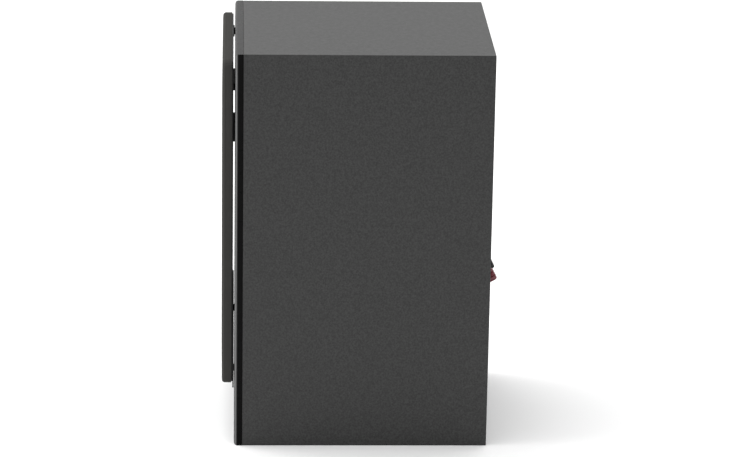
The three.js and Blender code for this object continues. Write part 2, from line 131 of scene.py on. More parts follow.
def white_walls():
    """White walls all round, dimmer on the camera's side."""
    world = bpy.data.worlds.new("studio")
    world.use_nodes = True
    tree = world.node_tree
    place = tree.nodes.new("ShaderNodeTexCoord")
    split = tree.nodes.new("ShaderNodeSeparateXYZ")
    fade = tree.nodes.new("ShaderNodeMapRange")
    for socket, value in (("From Min", -0.6), ("From Max", 0.8), ("To Min", 1.2), ("To Max", 0.55)):
        fade.inputs[socket].default_value = value
    tree.links.new(place.outputs["Generated"], split.inputs["Vector"])
    tree.links.new(split.outputs["X"], fade.inputs["Value"])
    sky = tree.nodes["Background"]
    sky.inputs["Color"].default_value = (1, 1, 1, 1)
    tree.links.new(fade.outputs["Result"], sky.inputs["Strength"])
    bpy.context.scene.world = world


def lay_floor():
    reach = 30
    corners = [(x * reach, y * reach, 0) for x, y in ((-1, -1), (1, -1), (1, 1), (-1, 1))]
    floor = bpy.data.meshes.new("floor")
    floor.from_pydata(corners, [], [(0, 1, 2, 3)])
    ground = bpy.data.objects.new("floor", floor)
    bpy.context.scene.collection.objects.link(ground)
    pale = bpy.data.materials.new("pale_floor")
    pale.use_nodes = True
    shader = pale.node_tree.nodes["Principled BSDF"]
    shader.inputs["Base Color"].default_value = (0.96, 0.96, 0.96, 1)
    shader.inputs["Roughness"].default_value = 0.9
    shader.inputs["Specular IOR Level"].default_value = 0.1
    floor.materials.append(pale)


def area_light(name, place, target, size, power):
    data = bpy.data.lights.new(name, "AREA")
    data.shape = "DISK"
    data.size = size
    data.energy = power
    lamp = bpy.data.objects.new(name, data)
    lamp.location = place
    lamp.rotation_euler = (Vector(target) - Vector(place)).to_track_quat("-Z", "Y").to_euler()
    bpy.context.scene.collection.objects.link(lamp)


# ------------------------------------------------------------------ materials
class Surface:
    """A Principled material whose colour, roughness and relief follow patterns in object space."""

    def __init__(self, name, roughness=0.5, specular=0.5, metallic=0.0, sheen=0.0):
        self.material = bpy.data.materials.new(name)
        self.material.use_nodes = True
        self.tree = self.material.node_tree
        self.shader = self.tree.nodes["Principled BSDF"]
        self.set("Roughness", roughness)
        self.set("Specular IOR Level", specular)
        self.set("Metallic", metallic)
        if sheen:
            self.set("Sheen Weight", sheen)
            self.set("Sheen Roughness", 0.5)
        self.place = self.node("ShaderNodeTexCoord").outputs["Object"]
        self.relief = None

    def set(self, socket, value):
        self.shader.inputs[socket].default_value = value

    def node(self, kind, **settings):
        made = self.tree.nodes.new(kind)
        for key, value in settings.items():
            setattr(made, key, value)
        return made

    def link(self, source, target):
        self.tree.links.new(source, target)

    def noise(self, size, detail=4.0, rough=0.55, stretch=(1, 1, 1)):
        """Noise whose features are about size millimetres across."""
        mapping = self.node("ShaderNodeMapping")
        mapping.inputs["Scale"].default_value = stretch
        self.link(self.place, mapping.inputs["Vector"])
        noise = self.node("ShaderNodeTexNoise")
        noise.inputs["Scale"].default_value = 1 / (size * MM)
        noise.inputs["Detail"].default_value = detail
        noise.inputs["Roughness"].default_value = rough
        self.link(mapping.outputs["Vector"], noise.inputs["Vector"])
        return noise.outputs["Fac"]

    def cells(self, size, smoothness=0.6):
        """Rounded pebbles about size millimetres across."""
        cells = self.node("ShaderNodeTexVoronoi", feature="SMOOTH_F1")
        cells.inputs["Scale"].default_value = 1 / (size * MM)
        cells.inputs["Smoothness"].default_value = smoothness
        self.link(self.place, cells.inputs["Vector"])
        return cells.outputs["Distance"]

    def bands(self, pitch, direction):
        """Ridges pitch millimetres apart, square to an axis."""
        wave = self.node("ShaderNodeTexWave", wave_type="BANDS", bands_direction=direction)
        wave.inputs["Scale"].default_value = TAU / 20 / (pitch * MM)
        wave.inputs["Distortion"].default_value = 0.0
        self.link(self.place, wave.inputs["Vector"])
        return wave.outputs["Fac"]

    def mixed(self, a, b, operation="ADD"):
        sums = self.node("ShaderNodeMath", operation=operation)
        self.link(a, sums.inputs[0])
        self.link(b, sums.inputs[1])
        return sums.outputs[0]

    def squared(self, value):
        return self.mixed(value, value, "MULTIPLY")

    def facing(self):
        """The X, Y and Z sockets of the surface's direction."""
        split = self.node("ShaderNodeSeparateXYZ")
        self.link(self.node("ShaderNodeTexCoord").outputs["Normal"], split.inputs["Vector"])
        return split.outputs

    def weave(self, pitch):
        """Threads pitch millimetres apart, both ways across a surface whichever way it faces, from 0 to 1."""
        facing = self.facing()
        threads = None
        for axis in "XYZ":
            along = self.node("ShaderNodeMath", operation="SUBTRACT")
            along.inputs[0].default_value = 1.0
            self.link(self.squared(facing[axis]), along.inputs[1])
            ridges = self.mixed(self.bands(pitch, axis), along.outputs[0], "MULTIPLY")
            threads = self.mixed(threads, ridges) if threads else ridges
        scaled = self.node("ShaderNodeMapRange")
        scaled.inputs["From Max"].default_value = 2.0
        self.link(threads, scaled.inputs["Value"])
        return scaled.outputs["Result"]

    def colour(self, fac, dark, light, low=0.3, high=0.7):
        ramp = self.node("ShaderNodeValToRGB")
        for element, position, value in zip(ramp.color_ramp.elements, (low, high), (dark, light)):
            element.position = position
            element.color = (*value, 1)
        self.link(fac, ramp.inputs["Fac"])
        self.link(ramp.outputs["Color"], self.shader.inputs["Base Color"])

    def gloss(self, fac, low, high):
        """Roughness that follows a pattern, from low to high."""
        spread = self.node("ShaderNodeMapRange")
        spread.inputs["To Min"].default_value = low
        spread.inputs["To Max"].default_value = high
        self.link(fac, spread.inputs["Value"])
        self.link(spread.outputs["Result"], self.shader.inputs["Roughness"])

    def turning(self):
        """Up to 1 where an upright edge turns from facing forwards to facing sideways, else 0."""
        facing = self.facing()
        forward = self.squared(facing["Y"])
        sideways = self.squared(facing["X"])
        product = self.mixed(forward, self.squared(sideways), "MULTIPLY")
        scaled = self.node("ShaderNodeMath", operation="MULTIPLY", use_clamp=True)
        scaled.inputs[1].default_value = 27 / 4  # the product is 4/27 at most
        self.link(product, scaled.inputs[0])
        return scaled.outputs[0]

    def rub(self, where, highlight_colour):
        """Painted highlight: the base colour goes over to a lighter colour where the pattern says, standing in for
        light reflected off the surface.
        """
        highlighted = self.node("ShaderNodeMix", data_type="RGBA")
        self.link(where, highlighted.inputs["Factor"])
        self.link(self.shader.inputs["Base Color"].links[0].from_socket, highlighted.inputs[6])
        highlighted.inputs[7].default_value = (*highlight_colour, 1)
        self.link(highlighted.outputs[2], self.shader.inputs["Base Color"])

    def bump(self, height, depth, strength=1.0):
        """Relief depth millimetres high."""
        bump = self.node("ShaderNodeBump")
        bump.inputs["Strength"].default_value = strength
        bump.inputs["Distance"].default_value = depth * MM
        self.link(height, bump.inputs["Height"])
        if self.relief:
            self.link(self.relief, bump.inputs["Normal"])
        self.relief = bump.outputs["Normal"]
        self.link(self.relief, self.shader.inputs["Normal"])


def grey(value):
    return (value, value, value)


def vinyl_wrap():
    s = Surface("vinyl_wrap", specular=0.5)
    mottle = s.noise(1.5, detail=6, rough=0.65)
    s.colour(mottle, (0.006, 0.0062, 0.006), (0.027, 0.0272, 0.0268), 0.35, 0.65)
    s.gloss(s.noise(5), 0.46, 0.58)
    s.bump(s.cells(0.9), 0.05, 0.6)
    s.bump(s.noise(1.7, detail=4), 0.05, 0.4)
    return s.material


def mdf():
    s = Surface("mdf", specular=0.2)
    fibres = s.noise(1.5, detail=6, stretch=(1, 0.4, 1))
    s.colour(fibres, (0.27, 0.17, 0.09), (0.4, 0.27, 0.15))
    s.gloss(fibres, 0.8, 0.95)
    s.bump(fibres, 0.05)
    return s.material


def moulded_baffle():
    s = Surface("moulded_baffle", specular=0.055)
    haze = s.noise(9, detail=3)
    s.colour(haze, grey(0.0014), grey(0.0022))
    s.gloss(haze, 0.24, 0.32)
    s.bump(s.noise(0.6, detail=2), 0.004, 0.3)
    # painted highlight: the rounded upright front edges are lightened to stand for the bright reflection they
    # catch
    s.rub(s.turning(), grey(0.16))
    return s.material


def black_plastic():
    s = Surface("black_plastic", specular=0.25)
    grain = s.noise(0.5, detail=3)
    s.colour(s.noise(7), grey(0.005), grey(0.009))
    s.gloss(grain, 0.42, 0.55)
    s.bump(grain, 0.02, 0.5)
    return s.material


def grille_cloth():
    s = Surface("grille_cloth", roughness=0.95, specular=0.0)
    knit = s.weave(0.9)
    s.colour(knit, (0.03, 0.0295, 0.028), (0.078, 0.0765, 0.0725), 0.1, 0.9)
    s.bump(knit, 0.24, 0.8)
    s.bump(s.noise(3), 0.05, 0.4)
    return s.material


def black_steel():
    s = Surface("black_steel", specular=0.5)
    grain = s.noise(0.4, detail=3)
    s.colour(s.noise(6), grey(0.011), grey(0.017))
    s.gloss(grain, 0.36, 0.5)
    s.bump(grain, 0.012, 0.5)
    return s.material


def zinc_steel():
    s = Surface("zinc_steel", metallic=1.0)
    turning = s.noise(0.7, detail=3, stretch=(1, 6, 1))
    s.colour(turning, grey(0.42), grey(0.56))
    s.gloss(turning, 0.25, 0.42)
    s.bump(turning, 0.01, 0.4)
    return s.material


def ferrite():
    s = Surface("ferrite", specular=0.3)
    grain = s.noise(0.8, detail=6)
    s.colour(grain, grey(0.022), grey(0.045))
    s.gloss(grain, 0.65, 0.85)
    s.bump(grain, 0.06)
    return s.material


def rubber():
    s = Surface("rubber", specular=0.35)
    bloom = s.noise(4, detail=5)
    s.colour(bloom, grey(0.008), grey(0.014))
    s.gloss(bloom, 0.5, 0.65)
    s.bump(s.noise(0.4), 0.01, 0.5)
    return s.material


def cone():
    s = Surface("cone", specular=0.3)
    fibres = s.noise(1.1, detail=6, rough=0.7)
    s.colour(fibres, (0.012, 0.0125, 0.0135), (0.026, 0.027, 0.029))
    s.gloss(fibres, 0.5, 0.7)
    s.bump(fibres, 0.05, 0.7)
    return s.material


def dome_silk():
    s = Surface("dome_silk", specular=0.4, sheen=0.15)
    weave = s.mixed(s.bands(0.35, "X"), s.bands(0.35, "Z"))
    s.colour(s.noise(3), (0.016, 0.017, 0.02), (0.024, 0.025, 0.029))
    s.gloss(s.noise(2), 0.42, 0.58)
    s.bump(weave, 0.02, 0.6)
    return s.material


def spider_cloth():
    s = Surface("spider_cloth", roughness=0.85, specular=0.15)
    weave = s.mixed(s.bands(0.5, "X"), s.bands(0.5, "Z"))
    s.colour(s.noise(3), (0.5, 0.27, 0.08), (0.62, 0.36, 0.12))
    s.bump(weave, 0.05, 0.8)
    return s.material


def copper():
    s = Surface("copper", metallic=1.0)
    turns = s.bands(0.6, "Z")
    s.colour(turns, (0.42, 0.15, 0.06), (0.64, 0.27, 0.11), 0.1, 0.9)
    s.gloss(s.noise(2), 0.25, 0.4)
    s.bump(turns, 0.1)
    return s.material


def red_plastic():
    s = Surface("red_plastic", specular=0.45)
    cloud = s.noise(3)
    s.colour(cloud, (0.15, 0.026, 0.036), (0.2, 0.036, 0.048))
    s.gloss(cloud, 0.22, 0.34)
    s.bump(s.noise(0.5), 0.006, 0.4)
    return s.material


def gold_plate():
    s = Surface("gold_plate", metallic=1.0)
    turning = s.noise(0.5, detail=3)
    s.colour(turning, (0.55, 0.36, 0.11), (0.68, 0.47, 0.17))
    s.gloss(turning, 0.18, 0.3)
    s.bump(turning, 0.008, 0.4)
    return s.material


def circuit_board():
    s = Surface("circuit_board", specular=0.4)
    tracks = s.noise(4, detail=1, stretch=(1, 3, 1))
    s.colour(tracks, (0.02, 0.09, 0.035), (0.04, 0.16, 0.06), 0.48, 0.52)
    s.gloss(tracks, 0.35, 0.5)
    s.bump(tracks, 0.03)
    return s.material


def film_capacitor():
    s = Surface("film_capacitor", specular=0.45)
    wrap = s.noise(2, detail=4)
    s.colour(wrap, (0.4, 0.19, 0.02), (0.5, 0.26, 0.05))
    s.gloss(wrap, 0.25, 0.4)
    s.bump(wrap, 0.05, 0.5)
    return s.material


def cement():
    s = Surface("cement", specular=0.2)
    grain = s.noise(0.7, detail=6)
    s.colour(grain, (0.62, 0.59, 0.52), (0.8, 0.77, 0.7))
    s.gloss(grain, 0.8, 0.95)
    s.bump(grain, 0.08)
    return s.material


def wadding():
    s = Surface("wadding", roughness=1.0, specular=0.05, sheen=0.3)
    fluff = s.noise(6, detail=8, rough=0.75)
    s.colour(fluff, grey(0.6), grey(0.85))
    s.bump(fluff, 1.5)
    return s.material


def wire():
    s = Surface("wire", specular=0.4)
    scuff = s.noise(3, detail=5)
    s.colour(scuff, (0.2, 0.006, 0.01), (0.3, 0.012, 0.018))
    s.gloss(scuff, 0.35, 0.5)
    s.bump(scuff, 0.02)
    return s.material


MAKERS = (
    vinyl_wrap, mdf, moulded_baffle, black_plastic, grille_cloth, black_steel, zinc_steel, ferrite, rubber,
    cone, dome_silk, spider_cloth, copper, red_plastic, gold_plate, circuit_board, film_capacitor, cement,
    wadding, wire,
)
FINISHES = {make.__name__: make() for make in MAKERS}


def paint_cad_nodes():
    """Every CAD node that stays gets the finish of its slot."""
    for row in frame["record"]["subparts"]:
        mesh = frame["nodes"][row["node"]].data
        mesh.materials.clear()
        mesh.materials.append(FINISHES[row["material_slot"]])


# ------------------------------------------------------------------ mesh helpers, outlines in millimetres
def arc(cx, cy, rx, ry, start, end, steps):
    """Points on an ellipse's arc, both ends included; angles in degrees."""
    angles = [math.radians(start + (end - start) * i / steps) for i in range(steps + 1)]
    return [(cx + rx * math.cos(a), cy + ry * math.sin(a)) for a in angles]


def revolve(outline, origin, axis=(0, 1, 0), steps=96, shape=None, sweep=None):
    """A solid of revolution about an axis. The outline is a loop of (radius, distance along the axis).

    shape(radius, distance, angle) may change the radius round the axis, as flutes do.
    sweep limits the solid to a sector.
    """
    along = Vector(axis).normalized()
    x_axis = Vector((1, 0, 0)) if abs(along.x) < 0.9 else Vector((0, 0, 1))
    z_axis = along.cross(x_axis).normalized()
    x_axis = z_axis.cross(along)
    start, end = sweep or (0, TAU)
    count = steps if sweep is None else steps + 1
    bm = bmesh.new()
    rings = []
    for r, t in outline:
        centre = Vector(origin) + along * t
        if r < 1e-6:
            rings.append([bm.verts.new(centre * MM)] * count)
            continue
        ring = []
        for i in range(count):
            angle = start + (end - start) * i / steps
            reach = shape(r, t, angle) if shape else r
            spot = centre + (x_axis * math.cos(angle) + z_axis * math.sin(angle)) * reach
            ring.append(bm.verts.new(spot * MM))
        rings.append(ring)
    open_ended = outline[0][0] < 1e-6 and outline[-1][0] < 1e-6
    following = rings[1:] if open_ended else rings[1:] + rings[:1]
    for here, after in zip(rings, following):
        for i in range(steps):
            j = (i + 1) % count
            corners = list(dict.fromkeys((here[i], here[j], after[j], after[i])))
            if len(corners) > 2:
                bm.faces.new(corners)
    if sweep:
        for end_cap in (0, count - 1):
            bm.faces.new([ring[end_cap] for ring in rings])
    bmesh.ops.recalc_face_normals(bm, faces=bm.faces)
    return bm


def prism(points, near, far, place):
    """A closed prism. place(a, b, c) gives the spot of an outline point (a, b) at depth c."""
    bm = bmesh.new()
    ends = [[bm.verts.new(Vector(place(a, b, c)) * MM) for a, b in points] for c in (near, far)]
    bm.faces.new(ends[0])
    bm.faces.new(ends[1])
    for i in range(len(points)):
        j = (i + 1) % len(points)
        bm.faces.new((ends[0][i], ends[0][j], ends[1][j], ends[1][i]))
    bmesh.ops.recalc_face_normals(bm, faces=bm.faces)
    return bm


def slab(points, near, far):
    """A prism along Y whose outline is drawn in X and Z."""
    return prism(points, near, far, lambda x, z, y: (x, y, z))


def rod(r, start, end, origin, axis=(0, 1, 0), steps=96):
    return revolve([(0, start), (r, start), (r, end), (0, end)], origin, axis, steps)


def block(low, high):
    bm = bmesh.new()
    bmesh.ops.create_cube(bm, size=1)
    size = Vector(high) - Vector(low)
    centre = (Vector(high) + Vector(low)) / 2
    bmesh.ops.scale(bm, vec=size * MM, verts=bm.verts)
    bmesh.ops.translate(bm, vec=centre * MM, verts=bm.verts)
    return bm


def rounded_rectangle(x0, x1, z0, z1, r, corner=8, along=0):
    """Points round a rectangle with round corners, with extra points spread along its sides."""
    centres = ((x1 - r, z0 + r, -90), (x1 - r, z1 - r, 0), (x0 + r, z1 - r, 90), (x0 + r, z0 + r, 180))
    arcs = [arc(cx, cz, r, r, start, start + 90, corner) for cx, cz, start in centres]
    points = []
    for here, after in zip(arcs, arcs[1:] + arcs[:1]):
        points += here
        (x, z), (next_x, next_z) = here[-1], after[0]
        for k in range(1, along + 1):
            s = k / (along + 1)
            points.append((x + (next_x - x) * s, z + (next_z - z) * s))
    return points


def pear(lower, upper, steps=40):
    """The outline wrapped round the tweeter's and the super tweeter's circles."""
    lean = math.degrees(math.asin((lower - upper) / (SUPER_Z - TWEETER_Z)))
    return [
        *arc(0, TWEETER_Z, lower, lower, 180 - lean, 360 + lean, steps),
        *arc(0, SUPER_Z, upper, upper, lean, 180 - lean, steps),
    ]


def round_edges(bm, test, radius, segments=5):
    """Rounds the edges whose two ends pass the test."""
    edges = [e for e in bm.edges if all(test(v.co / MM) for v in e.verts)]
    bmesh.ops.bevel(bm, geom=edges, offset=radius * MM, segments=segments, profile=0.5, affect="EDGES")
    return bm


def object_of(bm, name):
    mesh = bpy.data.meshes.new(name)
    bm.to_mesh(mesh)
    bm.free()
    made = bpy.data.objects.new(name, mesh)
    bpy.context.scene.collection.objects.link(made)
    return made


def combined(base, others, operation):
    """A bmesh of base cut by, or joined with, other bmeshes."""
    thing = object_of(base, "base")
    tools = [object_of(other, "tool") for other in others]
    for tool in tools:
        step = thing.modifiers.new("step", "BOOLEAN")
        step.solver = "EXACT"
        step.operation = operation
        step.object = tool
    bpy.context.view_layer.update()
    evaluated = thing.evaluated_get(bpy.context.evaluated_depsgraph_get())
    mesh = bpy.data.meshes.new_from_object(evaluated)
    for unused in (thing, *tools):
        bpy.data.objects.remove(unused)
    bm = bmesh.new()
    bm.from_mesh(mesh)
    bmesh.ops.remove_doubles(bm, verts=bm.verts, dist=1e-7)
    return bm


def cut(base, *tools):
    return combined(base, tools, "DIFFERENCE")


def join(base, *others):
    return combined(base, others, "UNION")


def hole(r, x, z, near, far, lip=0.0, steps=64):
    """A cutter for a round hole along Y, whose mouth at the near end has a rounded lip."""
    mouth = [(r, near - 5)]
    if lip:
        mouth = [(r + lip, near - 5), *arc(r + lip, near + lip, lip, lip, -90, -180, 5)]
    return revolve([(0, near - 5), *mouth, (r, far), (0, far)], (x, 0, z), steps=steps)


def piece(bm, name, finish, body, stands_for=(), bevel=0.0, segments=3, angle=32):
    """Turns a bmesh into a shaded piece that rides on a body, its edges softened by a small bevel."""
    made = object_of(bm, name)
    made.data.shade_smooth()
    made.data.set_sharp_from_angle(angle=math.radians(angle))
    made.data.materials.append(FINISHES[finish])
    if bevel:
        soften = made.modifiers.new("soft_edges", "BEVEL")
        soften.width = bevel * MM
        soften.segments = segments
        soften.limit_method = "ANGLE"
        soften.angle_limit = math.radians(angle)
        soften.use_clamp_overlap = True
    weigh = made.modifiers.new("even_shading", "WEIGHTED_NORMAL")
    weigh.keep_sharp = True
    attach(made, body)
    if stands_for:
        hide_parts(*stands_for)
    return made


# ------------------------------------------------------------------ cabinet
def cabinet_wrap():
    """The four outer boards as one folded skin, open at the front and back."""
    x, top = WRAP_HIGH.x, WRAP_HIGH.z
    joint = BAFFLE_HIGH.y
    outer = [(-x, 0), (x, 0), (x, top), (-x, top)]
    inner = [(-x + PANEL, PANEL), (x - PANEL, PANEL), (x - PANEL, top - PANEL), (-x + PANEL, top - PANEL)]
    bm = bmesh.new()

    def placed(corners, y):
        return [bm.verts.new(Vector((a, y, b)) * MM) for a, b in corners]

    front, rear = placed(outer, joint), placed(outer, REAR)
    inner_front, inner_rear = placed(inner, joint), placed(inner, REAR)
    skins = ((front, rear), (inner_front, inner_rear), (front, inner_front), (rear, inner_rear))
    for near, far in skins:
        for i in range(4):
            j = (i + 1) % 4
            bm.faces.new((near[i], near[j], far[j], far[i]))
    bmesh.ops.recalc_face_normals(bm, faces=bm.faces)
    panels = [f"cabinet_{name}_panel" for name in ("left", "right", "top", "bottom")]
    piece(bm, "cabinet_wrap", "vinyl_wrap", "cabinet", panels, bevel=0.6, segments=4)


def back_panel():
    low, high = side("cabinet_back_panel", LOW), side("cabinet_back_panel", HIGH)
    cup_low, cup_high = side("terminal_cup", LOW), side("terminal_cup", HIGH)
    margin = Vector((0.1, 0, 0.1))
    under = 5  # the opening's edge lies this far under the cup's flange
    cup = block(
        (cup_low.x + under, low.y - 9, cup_low.z + under),
        (cup_high.x - under, high.y + 9, cup_high.z - under),
    )
    bm = cut(block(low + margin, high - margin), rod(30.5, -20, 9, (0, REAR, PORT_Z)), cup)
    piece(bm, "cabinet_back_panel_skin", "vinyl_wrap", "cabinet", ["cabinet_back_panel"], bevel=0.4)


def front_baffle():
    low, high = BAFFLE_LOW, BAFFLE_HIGH
    shell = round_edges(block(low, high), lambda p: p.y < low.y + 1, BAFFLE_EDGE_R, 7)
    floor = FRONT + RECESS
    bm = cut(
        shell,
        hole(FLANGE_R + 0.7, 0, WOOFER_Z, FRONT, floor, 0.6, 128),
        rod(WOOFER_BORE_R, -5, 20, (0, FRONT, WOOFER_Z), steps=128),
        slab(pear(PLATE_R[0] + 0.4, PLATE_R[1] + 0.4), FRONT - 5, floor),
        rod(TWEETER_BORE_R, -5, 20, (0, FRONT, TWEETER_Z)),
        rod(SUPER_BORE_R, -5, 20, (0, FRONT, SUPER_Z)),
        *[hole(5, x, z, FRONT, FRONT + 6.5, 0.3) for x, z in PEGS],
    )
    piece(bm, "front_baffle_shell", "moulded_baffle", "cabinet", ["front_baffle"])
    cup = [(3.3, 0.5), (3.8, 0.05), (4.5, 0.05), (4.85, 0.4), (4.85, 6.4), (3.3, 6.4)]
    for i, (x, z) in enumerate(PEGS, 1):
        piece(revolve(cup, (x, FRONT, z), steps=48), f"peg_cup_{i}", "rubber", "cabinet")


# ------------------------------------------------------------------ fasteners
def screw(name, origin, axis, radius, rise, length, stands_for=()):
    """A pan-head screw with a cross recess; origin is under the head, and axis points out of the head."""
    along = Vector(axis).normalized()
    dome = arc(0, 0, radius, rise, 0, 90, 6)
    shank = 0.45 * radius
    outline = [*dome[:-1], (0, rise), (0, -length), (shank, -length), (shank, 0)]
    head = revolve(outline, origin, along, steps=40)
    flat = Vector((1, 0, 0)) if abs(along.x) < 0.9 else Vector((0, 0, 1))
    across = along.cross(flat).normalized()
    half, width = 0.55 * radius, 0.13 * radius
    bar = [(-half, -width), (half, -width), (half, width), (-half, width)]
    slots = []
    for lie, stand in ((flat, across), (across, flat)):
        def placed(a, b, c, lie=lie, stand=stand):
            return Vector(origin) + (lie * a + stand * b) + along * c

        slots.append(prism(bar, 0.35 * rise, 3 * rise, placed))
    piece(cut(head, *slots), name, "black_steel", "cabinet", stands_for)


# ------------------------------------------------------------------ woofer
def sectors(name, outline, z, count, steps, finish, stands_for):
    """A ring between the basket and the cone, made of sectors, each swept round its own part of the circle."""
    for i in range(count):
        start, end = TAU * i / count, TAU * (i + 1) / count
        bm = revolve(outline, (0, FRONT, z), steps=steps, sweep=(start, end))
        made = object_of(bm, f"{name}_{i + 1:02d}")
        made.data.shade_smooth()
        made.data.set_sharp_from_angle(angle=math.radians(40))
        made.data.materials.append(FINISHES[finish])
        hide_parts(stands_for)
        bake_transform(made)


def woofer():
    z = WOOFER_Z
    origin = (0, FRONT, z)
    screws = [middle(f"woofer_screw_{i}") for i in range(1, 5)]
    wall = [
        (54, 3.6), (61, 3.6), (61, 1.3), (61.3, 1), (FLANGE_R - 0.6, 1), (FLANGE_R, 1.6), (FLANGE_R, 4.7),
        (59.2, 4.7), (57.2, 9), (51.2, 27), (45.4, 29.5), (45.4, 47), (24, 47), (24, 44.6), (43, 44.6),
        (43, 27.2), (48.8, 27.2), (54, 8.5),
    ]
    bores = [hole(2.2, spot.x, spot.z, FRONT - 1, FRONT + 9, steps=24) for spot in screws]
    basket = cut(revolve(wall, origin, steps=128), *bores)
    piece(basket, "woofer_basket_casting", "black_steel", "cabinet", ["woofer_basket"])
    for i, spot in enumerate(screws, 1):
        under_head = (spot.x, FRONT + 1, spot.z)
        screw(f"woofer_fixing_{i}", under_head, (0, -1, 0), 3.6, 0.9, 18, [f"woofer_screw_{i}"])
    gasket = [
        (55.4, 2.6), *arc(56, 1.7, 0.6, 0.5, 180, 270, 4), *arc(60, 1.7, 0.7, 0.5, 270, 360, 4), (60.7, 2.6),
    ]
    piece(revolve(gasket, origin, steps=128), "woofer_gasket_ring", "rubber", "cabinet", ["woofer_gasket"])

    arch = arc(50.5, 2.9, 4, -2.6, 0, 180, 14)
    under = arc(50.5, 3.3, 3.6, -2.3, 180, 0, 14)
    roll = [(60.6, 2.9), *arch, (44, 2.9), (44, 3.3), *under, (60.6, 3.3)]
    sectors("surround", roll, z, 16, 8, "rubber", "woofer_surround")

    folds = 40
    waves = [(13.2 + 31 * i / folds, 26 + 0.9 * math.sin(TAU * 4 * i / folds)) for i in range(folds + 1)]
    disc = [*waves, (48.5, 26.3), (48.5, 26.8), *[(r, y + 0.5) for r, y in reversed(waves)]]
    sectors("spider", disc, z, 8, 8, "spider_cloth", "woofer_spider")

    dish = [(46.8, 3.6), *cone_curve(0), *reversed(cone_curve(0.9)), (46.8, 4.5)]
    piece(revolve(dish, origin, steps=128), "woofer_cone_dish", "cone", "woofer_cone", ["woofer_cone"])
    cap = dome_shell(17, 16.3, 6, 5.4, 19, 12)
    piece(revolve(cap, origin, steps=96), "woofer_dust_cap_dome", "cone", "woofer_cone", ["woofer_dust_cap"])


def cone_curve(offset):
    """The woofer cone's curve from its rim to its neck, with faint pressed ribs."""
    rim, neck, drop, steps = 44, 13.2, 18.4, 24
    points = []
    for i in range(steps + 1):
        s = i / steps
        ribs = 0.12 * math.sin(TAU * 3 * s) * math.sin(math.pi * s)
        points.append((rim - (rim - neck) * s, 3.6 + offset + drop * s**0.85 + ribs))
    return points


def dome_shell(outer, inner, rise, inner_rise, base, steps):
    """The outline of a thin dome that bulges forwards, from its crown out to its edge and back inside."""
    curve = [*arc(0, base, outer, -rise, 90, 0, steps), *arc(0, base, inner, -inner_rise, 0, 90, steps)]
    return [(0 if abs(r) < 1e-6 else r, t) for r, t in curve]


# ------------------------------------------------------------------ tweeters
def treble_plate():
    screws = []
    for z, reach, way in ((TWEETER_Z, PLATE_R[0] - 4.5, -1), (SUPER_Z, PLATE_R[1] - 4, 1)):
        step = reach * math.sqrt(0.5)
        screws += [(x * step, z + way * step) for x in (-1, 1)]
    near, far = side("treble_plate", LOW).y, side("treble_plate", HIGH).y
    horns = []
    for name, z in (("tweeter", TWEETER_Z), ("super_tweeter", SUPER_Z)):
        mouth = side(f"{name}_guard", HIGH).x - 1.2
        throat = side(f"{name}_dome", HIGH).x + 3.4
        face = near - FRONT
        flare = [(mouth + (throat - mouth) * s / 8, face + 2.6 * (s / 8) ** 1.6) for s in range(1, 9)]
        outline = [(0, -2), (mouth + 1.2, -2), (mouth + 0.5, face), *flare, (throat, 9), (0, 9)]
        horns.append(revolve(outline, (0, FRONT, z)))
    holes = [hole(1.7, x, z, near, far + 5, 1.2, 24) for x, z in screws]
    plate = cut(slab(pear(*PLATE_R), near, far), *horns, *holes)
    piece(plate, "treble_plate_moulding", "black_plastic", "cabinet", ["treble_plate"], bevel=0.3)
    for i, (x, z) in enumerate(screws, 1):
        screw(f"treble_fixing_{i}", (x, near + 0.9, z), (0, -1, 0), 2.7, 1.0, 3.6)


def dome_driver(name, z):
    origin = (0, FRONT, z)
    dome = side(f"{name}_dome", HIGH).x
    rise = side(f"{name}_dome", HIGH).y - side(f"{name}_dome", LOW).y
    base = side(f"{name}_dome", HIGH).y - FRONT
    cap = dome_shell(dome, dome - 0.5, rise, rise - 0.5, base, 14)
    piece(revolve(cap, origin), f"{name}_dome_skin", "dome_silk", f"{name}_dome", [f"{name}_dome"])
    middle_r = dome + 1.5
    roll = [
        (dome + 3.1, base + 0.3), *arc(middle_r, base + 0.3, 1.2, -1, 0, 180, 10),
        (dome + 0.15, base + 0.3), (dome + 0.15, base + 0.5),
        *arc(middle_r, base + 0.6, 1.1, -0.7, 180, 0, 10), (dome + 3.1, base + 0.6),
    ]
    piece(revolve(roll, origin), f"{name}_surround_roll", "dome_silk", f"{name}_dome", [f"{name}_surround"])
    guard_cage(name, origin, dome)


def guard_cage(name, origin, dome):
    """A rim, a collar, and three bars that run flat to the collar, then arch over the dome and cross."""
    mouth = side(f"{name}_guard", HIGH).x - 1.2
    seat = side(f"{name}_guard", HIGH).y - FRONT
    top = FRONT - side(f"{name}_guard", LOW).y
    lip = 0.3
    ring = [
        (mouth - 1.4, seat), *arc(mouth - 1.4 + lip, lip, lip, lip, 180, 270, 4),
        *arc(mouth + 1.2 - lip, lip, lip, lip, 270, 360, 4), (mouth + 1.2, seat),
    ]
    rim = revolve(ring, origin)
    over, under = dome - 0.3, dome - 1.1
    brow = (over + under) / 2
    half = (over - under) / 2
    collar = revolve([(under, seat), *arc(brow, -0.9, half, -half, 180, 0, 6), (over, seat)], origin)
    end = mouth - 0.3
    bar = [
        (end, 0.05), *arc(0, 0.05, over, -top - 0.05, 0, 180, 28), (-end, 0.05),
        (-end, seat), *arc(0, seat, under, 0.8 - top - seat, 180, 0, 28), (end, seat),
    ]
    bars = []
    for k in range(3):
        def placed(a, b, c, turn=Matrix.Rotation(k * math.pi / 3, 3, "Y")):
            return Vector(origin) + turn @ Vector((a, b, c))

        bars.append(prism(bar, -0.75, 0.75, placed))
    cage = join(rim, collar, *bars)
    piece(cage, f"{name}_guard_cage", "black_steel", "cabinet", [f"{name}_guard"], bevel=0.2, segments=2)


